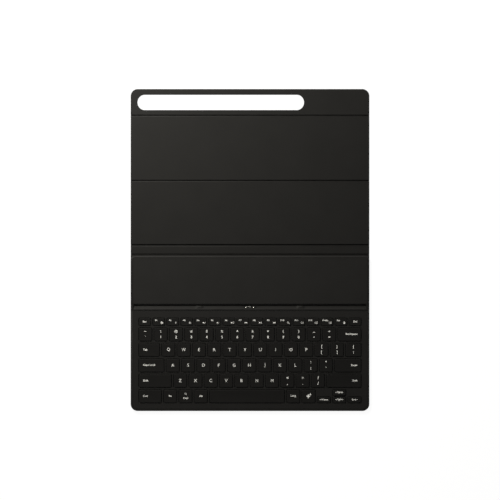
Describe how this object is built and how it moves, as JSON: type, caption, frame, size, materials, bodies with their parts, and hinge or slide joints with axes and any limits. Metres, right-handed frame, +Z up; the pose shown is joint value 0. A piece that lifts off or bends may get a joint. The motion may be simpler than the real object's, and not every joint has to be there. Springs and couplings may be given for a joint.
{
  "type": "tablet keyboard case",
  "caption": "Slim folding tablet cover with a built-in keyboard deck, a dock groove with sprung contacts, a two-part cover panel and a slotted end flap, laid open flat.",
  "frame": {"origin": "centre of the open case, on the surface that it lies on", "axes": "+X to the typist's right, +Y from the keyboard towards the flap, +Z up, out of the inner faces"},
  "size_m": [0.2894, 0.3904, 0.0054],
  "materials": {
    "outer_leatherette": "fine-grained black leatherette, matt",
    "inner_lining": "smooth charcoal leatherette, matt",
    "stiff_board": "glass-fibre board",
    "magnet": "nickel-plated",
    "casing": "fine spark texture, matt black",
    "steel_sheet": "bare sheet",
    "contact_metal": "plated, polished",
    "moulded_insulator": "moulded",
    "circuit_board": "solder resist",
    "ribbon": "film",
    "membrane_film": "film",
    "dome_rubber": "silicone",
    "link_plastic": "moulded",
    "keycap": "fine matt, slightly soft to the touch"
  },
  "bodies": {
    "deck": {"deck_skin": "outer_leatherette", "support_plate": "steel_sheet", "deck_frame": "casing", "dock_ledge": "casing", "rest_plate": "casing", "rest_magnets": "magnet", "pogo_housing": "moulded_insulator", "controller_board": "circuit_board", "flex_cable": "ribbon", "membrane_sheet": "membrane_film", "rubber_domes": "dome_rubber", "scissor_links": "link_plastic", "deck_crease": "outer_leatherette"},
    "spine": {"spine_skin": "outer_leatherette", "spine_lining": "inner_lining", "spine_crease": "outer_leatherette"},
    "lower_panel": {"lower_panel_skin": "outer_leatherette", "lower_panel_board": "stiff_board", "lower_panel_lining": "inner_lining", "panel_crease": "outer_leatherette"},
    "upper_panel": {"upper_panel_skin": "outer_leatherette", "upper_panel_board": "stiff_board", "upper_panel_lining": "inner_lining", "upper_panel_magnets": "magnet", "flap_crease": "outer_leatherette"},
    "flap": {"flap_skin": "outer_leatherette", "flap_board": "stiff_board", "flap_lining": "inner_lining"},
    "contact_pins": {"pogo_pins": "contact_metal"},
    "key_q": {"key_q": "keycap"},
    "key_w": {"key_w": "keycap"},
    "key_e": {"key_e": "keycap"},
    "key_r": {"key_r": "keycap"},
    "key_t": {"key_t": "keycap"},
    "key_y": {"key_y": "keycap"},
    "key_u": {"key_u": "keycap"},
    "key_i": {"key_i": "keycap"},
    "key_o": {"key_o": "keycap"},
    "key_p": {"key_p": "keycap"},
    "key_a": {"key_a": "keycap"},
    "key_s": {"key_s": "keycap"},
    "key_d": {"key_d": "keycap"},
    "key_f": {"key_f": "keycap"},
    "key_g": {"key_g": "keycap"},
    "key_h": {"key_h": "keycap"},
    "key_j": {"key_j": "keycap"},
    "key_k": {"key_k": "keycap"},
    "key_l": {"key_l": "keycap"},
    "key_z": {"key_z": "keycap"},
    "key_x": {"key_x": "keycap"},
    "key_c": {"key_c": "keycap"},
    "key_v": {"key_v": "keycap"},
    "key_b": {"key_b": "keycap"},
    "key_n": {"key_n": "keycap"},
    "key_m": {"key_m": "keycap"},
    "space_bar": {"space_bar": "keycap"},
    "function_keys": {"function_keys": "keycap"},
    "number_keys": {"number_keys": "keycap"},
    "punctuation_keys": {"punctuation_keys": "keycap"},
    "command_keys": {"command_keys": "keycap"}
  },
  "joints": [
    {"name": "cover_lift", "type": "hinge", "parent": "deck", "child": "spine", "pos_m": [0, -0.0058, 0.0007], "axis": [1, 0, 0], "range_deg": [0, 90], "deforming": ["deck_crease"]},
    {"name": "cover_close", "type": "hinge", "parent": "spine", "child": "lower_panel", "pos_m": [0, 0.0058, 0.0007], "axis": [1, 0, 0], "range_deg": [0, 90], "deforming": ["spine_crease"]},
    {"name": "cover_fold", "type": "hinge", "parent": "lower_panel", "child": "upper_panel", "pos_m": [0, 0.0842, 0.0007], "axis": [1, 0, 0], "range_deg": [-60, 0], "deforming": ["panel_crease"]},
    {"name": "cover_flap", "type": "hinge", "parent": "upper_panel", "child": "flap", "pos_m": [0, 0.1632, 0.0007], "axis": [1, 0, 0], "range_deg": [-90, 0], "deforming": ["flap_crease"]},
    {"name": "dock_pins", "type": "slide", "parent": "deck", "child": "contact_pins", "axis": [0, -0.5633, -0.8262], "range_m": [0, 0.0006], "stiffness_N_per_m": 150, "springref_m": -0.001},
    {"name": "key_q_press", "type": "slide", "parent": "deck", "child": "key_q", "axis": [0, 0, -1], "range_m": [0, 0.001], "stiffness_N_per_m": 150, "springref_m": -0.001, "deforming": ["rubber_domes", "scissor_links"]},
    {"name": "key_w_press", "type": "slide", "parent": "deck", "child": "key_w", "axis": [0, 0, -1], "range_m": [0, 0.001], "stiffness_N_per_m": 150, "springref_m": -0.001, "deforming": ["rubber_domes", "scissor_links"]},
    {"name": "key_e_press", "type": "slide", "parent": "deck", "child": "key_e", "axis": [0, 0, -1], "range_m": [0, 0.001], "stiffness_N_per_m": 150, "springref_m": -0.001, "deforming": ["rubber_domes", "scissor_links"]},
    {"name": "key_r_press", "type": "slide", "parent": "deck", "child": "key_r", "axis": [0, 0, -1], "range_m": [0, 0.001], "stiffness_N_per_m": 150, "springref_m": -0.001, "deforming": ["rubber_domes", "scissor_links"]},
    {"name": "key_t_press", "type": "slide", "parent": "deck", "child": "key_t", "axis": [0, 0, -1], "range_m": [0, 0.001], "stiffness_N_per_m": 150, "springref_m": -0.001, "deforming": ["rubber_domes", "scissor_links"]},
    {"name": "key_y_press", "type": "slide", "parent": "deck", "child": "key_y", "axis": [0, 0, -1], "range_m": [0, 0.001], "stiffness_N_per_m": 150, "springref_m": -0.001, "deforming": ["rubber_domes", "scissor_links"]},
    {"name": "key_u_press", "type": "slide", "parent": "deck", "child": "key_u", "axis": [0, 0, -1], "range_m": [0, 0.001], "stiffness_N_per_m": 150, "springref_m": -0.001, "deforming": ["rubber_domes", "scissor_links"]},
    {"name": "key_i_press", "type": "slide", "parent": "deck", "child": "key_i", "axis": [0, 0, -1], "range_m": [0, 0.001], "stiffness_N_per_m": 150, "springref_m": -0.001, "deforming": ["rubber_domes", "scissor_links"]},
    {"name": "key_o_press", "type": "slide", "parent": "deck", "child": "key_o", "axis": [0, 0, -1], "range_m": [0, 0.001], "stiffness_N_per_m": 150, "springref_m": -0.001, "deforming": ["rubber_domes", "scissor_links"]},
    {"name": "key_p_press", "type": "slide", "parent": "deck", "child": "key_p", "axis": [0, 0, -1], "range_m": [0, 0.001], "stiffness_N_per_m": 150, "springref_m": -0.001, "deforming": ["rubber_domes", "scissor_links"]},
    {"name": "key_a_press", "type": "slide", "parent": "deck", "child": "key_a", "axis": [0, 0, -1], "range_m": [0, 0.001], "stiffness_N_per_m": 150, "springref_m": -0.001, "deforming": ["rubber_domes", "scissor_links"]},
    {"name": "key_s_press", "type": "slide", "parent": "deck", "child": "key_s", "axis": [0, 0, -1], "range_m": [0, 0.001], "stiffness_N_per_m": 150, "springref_m": -0.001, "deforming": ["rubber_domes", "scissor_links"]},
    {"name": "key_d_press", "type": "slide", "parent": "deck", "child": "key_d", "axis": [0, 0, -1], "range_m": [0, 0.001], "stiffness_N_per_m": 150, "springref_m": -0.001, "deforming": ["rubber_domes", "scissor_links"]},
    {"name": "key_f_press", "type": "slide", "parent": "deck", "child": "key_f", "axis": [0, 0, -1], "range_m": [0, 0.001], "stiffness_N_per_m": 150, "springref_m": -0.001, "deforming": ["rubber_domes", "scissor_links"]},
    {"name": "key_g_press", "type": "slide", "parent": "deck", "child": "key_g", "axis": [0, 0, -1], "range_m": [0, 0.001], "stiffness_N_per_m": 150, "springref_m": -0.001, "deforming": ["rubber_domes", "scissor_links"]},
    {"name": "key_h_press", "type": "slide", "parent": "deck", "child": "key_h", "axis": [0, 0, -1], "range_m": [0, 0.001], "stiffness_N_per_m": 150, "springref_m": -0.001, "deforming": ["rubber_domes", "scissor_links"]},
    {"name": "key_j_press", "type": "slide", "parent": "deck", "child": "key_j", "axis": [0, 0, -1], "range_m": [0, 0.001], "stiffness_N_per_m": 150, "springref_m": -0.001, "deforming": ["rubber_domes", "scissor_links"]},
    {"name": "key_k_press", "type": "slide", "parent": "deck", "child": "key_k", "axis": [0, 0, -1], "range_m": [0, 0.001], "stiffness_N_per_m": 150, "springref_m": -0.001, "deforming": ["rubber_domes", "scissor_links"]},
    {"name": "key_l_press", "type": "slide", "parent": "deck", "child": "key_l", "axis": [0, 0, -1], "range_m": [0, 0.001], "stiffness_N_per_m": 150, "springref_m": -0.001, "deforming": ["rubber_domes", "scissor_links"]},
    {"name": "key_z_press", "type": "slide", "parent": "deck", "child": "key_z", "axis": [0, 0, -1], "range_m": [0, 0.001], "stiffness_N_per_m": 150, "springref_m": -0.001, "deforming": ["rubber_domes", "scissor_links"]},
    {"name": "key_x_press", "type": "slide", "parent": "deck", "child": "key_x", "axis": [0, 0, -1], "range_m": [0, 0.001], "stiffness_N_per_m": 150, "springref_m": -0.001, "deforming": ["rubber_domes", "scissor_links"]},
    {"name": "key_c_press", "type": "slide", "parent": "deck", "child": "key_c", "axis": [0, 0, -1], "range_m": [0, 0.001], "stiffness_N_per_m": 150, "springref_m": -0.001, "deforming": ["rubber_domes", "scissor_links"]},
    {"name": "key_v_press", "type": "slide", "parent": "deck", "child": "key_v", "axis": [0, 0, -1], "range_m": [0, 0.001], "stiffness_N_per_m": 150, "springref_m": -0.001, "deforming": ["rubber_domes", "scissor_links"]},
    {"name": "key_b_press", "type": "slide", "parent": "deck", "child": "key_b", "axis": [0, 0, -1], "range_m": [0, 0.001], "stiffness_N_per_m": 150, "springref_m": -0.001, "deforming": ["rubber_domes", "scissor_links"]},
    {"name": "key_n_press", "type": "slide", "parent": "deck", "child": "key_n", "axis": [0, 0, -1], "range_m": [0, 0.001], "stiffness_N_per_m": 150, "springref_m": -0.001, "deforming": ["rubber_domes", "scissor_links"]},
    {"name": "key_m_press", "type": "slide", "parent": "deck", "child": "key_m", "axis": [0, 0, -1], "range_m": [0, 0.001], "stiffness_N_per_m": 150, "springref_m": -0.001, "deforming": ["rubber_domes", "scissor_links"]},
    {"name": "space_bar_press", "type": "slide", "parent": "deck", "child": "space_bar", "axis": [0, 0, -1], "range_m": [0, 0.001], "stiffness_N_per_m": 150, "springref_m": -0.001, "deforming": ["rubber_domes", "scissor_links"]},
    {"name": "function_keys_press", "type": "slide", "parent": "deck", "child": "function_keys", "axis": [0, 0, -1], "range_m": [0, 0.001], "stiffness_N_per_m": 2400, "springref_m": -0.001, "deforming": ["rubber_domes", "scissor_links"]},
    {"name": "number_keys_press", "type": "slide", "parent": "deck", "child": "number_keys", "axis": [0, 0, -1], "range_m": [0, 0.001], "stiffness_N_per_m": 1950, "springref_m": -0.001, "deforming": ["rubber_domes", "scissor_links"]},
    {"name": "punctuation_keys_press", "type": "slide", "parent": "deck", "child": "punctuation_keys", "axis": [0, 0, -1], "range_m": [0, 0.001], "stiffness_N_per_m": 1200, "springref_m": -0.001, "deforming": ["rubber_domes", "scissor_links"]},
    {"name": "command_keys_press", "type": "slide", "parent": "deck", "child": "command_keys", "axis": [0, 0, -1], "range_m": [0, 0.001], "stiffness_N_per_m": 2400, "springref_m": -0.001, "deforming": ["rubber_domes", "scissor_links"]}
  ]
}
